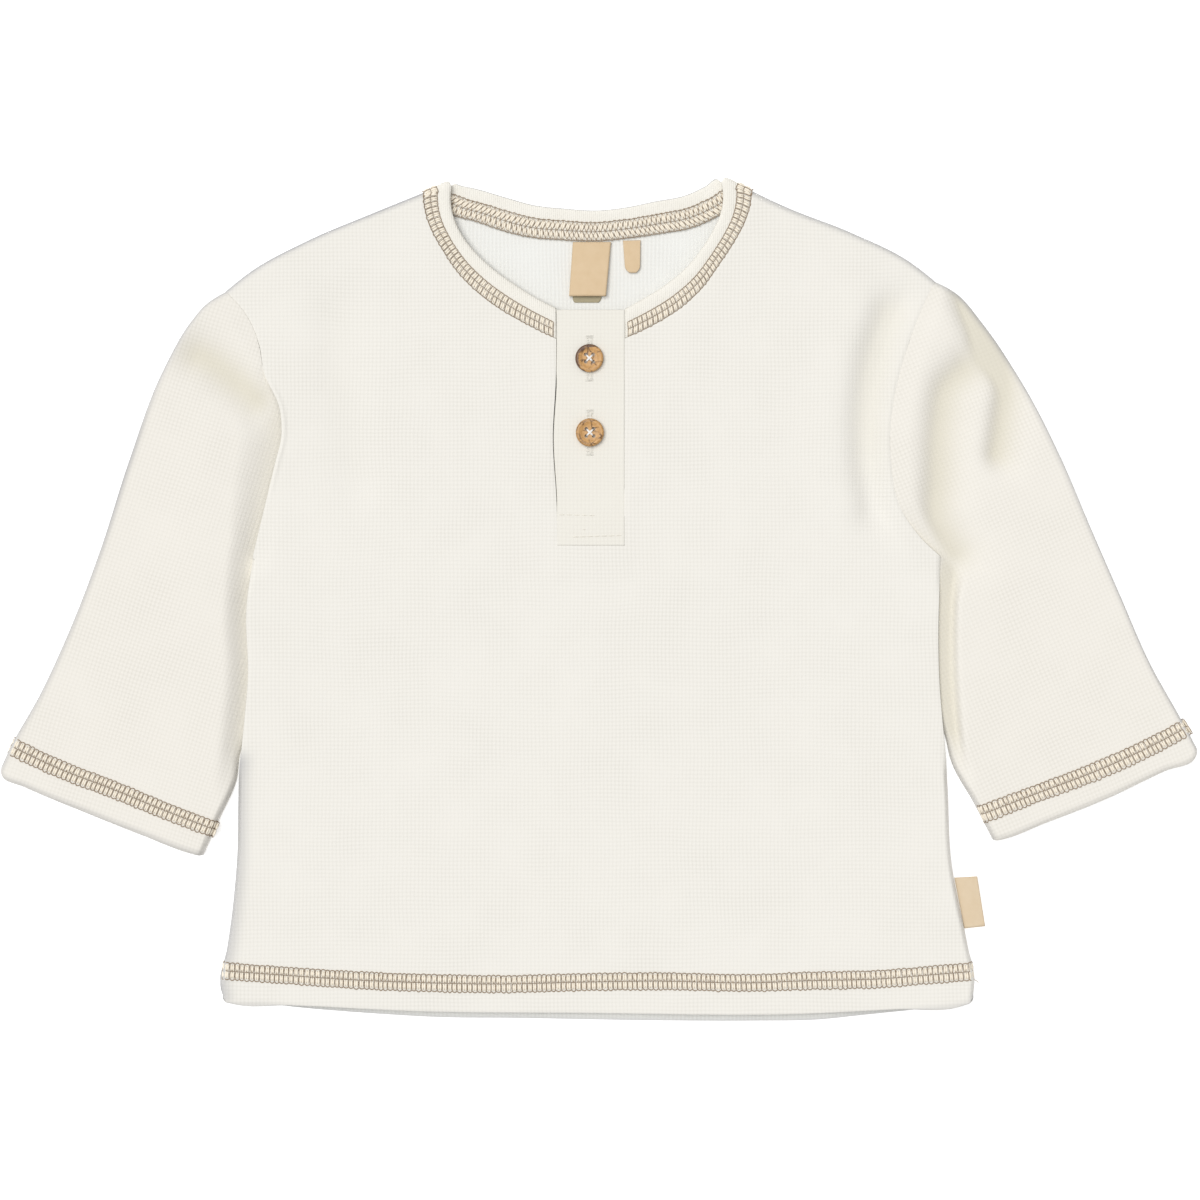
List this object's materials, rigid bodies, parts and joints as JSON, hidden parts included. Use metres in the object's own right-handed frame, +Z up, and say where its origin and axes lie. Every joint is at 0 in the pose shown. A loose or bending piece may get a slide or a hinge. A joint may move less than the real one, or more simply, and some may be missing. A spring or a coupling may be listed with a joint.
{
  "type": "baby henley sweater",
  "caption": "Baby's long-sleeved henley top of cream waffle knit, laid flat, with a buttoned half placket and contrast ladder stitching at neck, cuffs and hem.",
  "frame": {"origin": "middle of the laid-out garment's length and span, on the surface it rests on", "axes": "+X to the right of the garment as seen from above, +Y towards its neck, +Z up out of the surface"},
  "size_m": [0.4484, 0.3155, 0.0084],
  "materials": {
    "waffle_knit": "matte cream cotton waffle knit",
    "band_knit": "matte cream cotton rib knit",
    "wood": "smooth, lightly polished, warm brown",
    "tape": "smooth tan woven tape"
  },
  "bodies": {
    "root": {"back_panel": "waffle_knit", "front_panel": "waffle_knit", "sleeve_left": "waffle_knit", "sleeve_right": "waffle_knit", "neck_band": "band_knit", "placket_top": "band_knit", "placket_under": "band_knit", "button_upper": "wood", "button_lower": "wood", "neck_label": "tape", "size_label": "tape", "side_label": "tape"}
  },
  "joints": []
}
